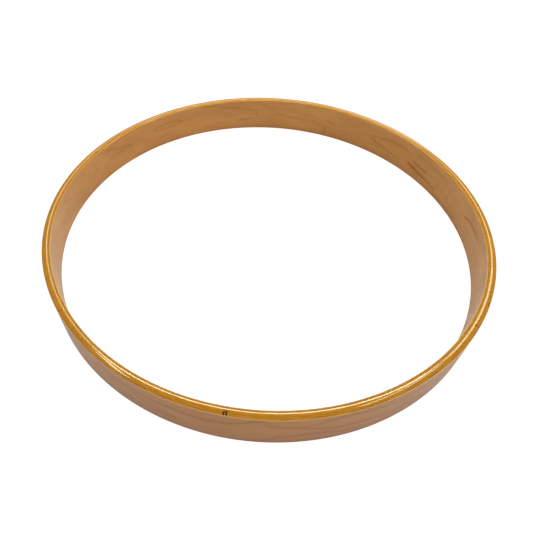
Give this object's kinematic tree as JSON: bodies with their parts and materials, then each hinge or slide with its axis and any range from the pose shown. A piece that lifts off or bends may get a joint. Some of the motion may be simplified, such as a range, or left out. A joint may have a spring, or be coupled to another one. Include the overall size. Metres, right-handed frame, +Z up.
{
  "type": "bass drum counter hoop",
  "caption": "Round counter hoop for a bass drum: a ring of laminated maple plies with staggered butt seams, a crowned top edge and a flat lower rim.",
  "frame": {"origin": "centre of the ring on the plane that its lower rim rests on", "axes": "+Z up along the ring's axis towards the crowned edge, -Y the front as seen in the picture"},
  "size_m": [0.5366, 0.5366, 0.0508],
  "materials": {
    "face_maple": "maple veneer, grain round the hoop, clear satin lacquer",
    "round_core": "maple core ply, long grain at the edge, glossy amber lacquer",
    "upright_core": "maple core ply, end grain at the edge, glossy amber lacquer"
  },
  "bodies": {
    "root": {"inner_face_ply": "face_maple", "core_ply_1": "upright_core", "core_ply_2": "round_core", "core_ply_3": "upright_core", "core_ply_4": "round_core", "core_ply_5": "round_core", "core_ply_6": "upright_core", "core_ply_7": "round_core", "core_ply_8": "upright_core", "outer_face_ply": "face_maple"}
  },
  "joints": []
}
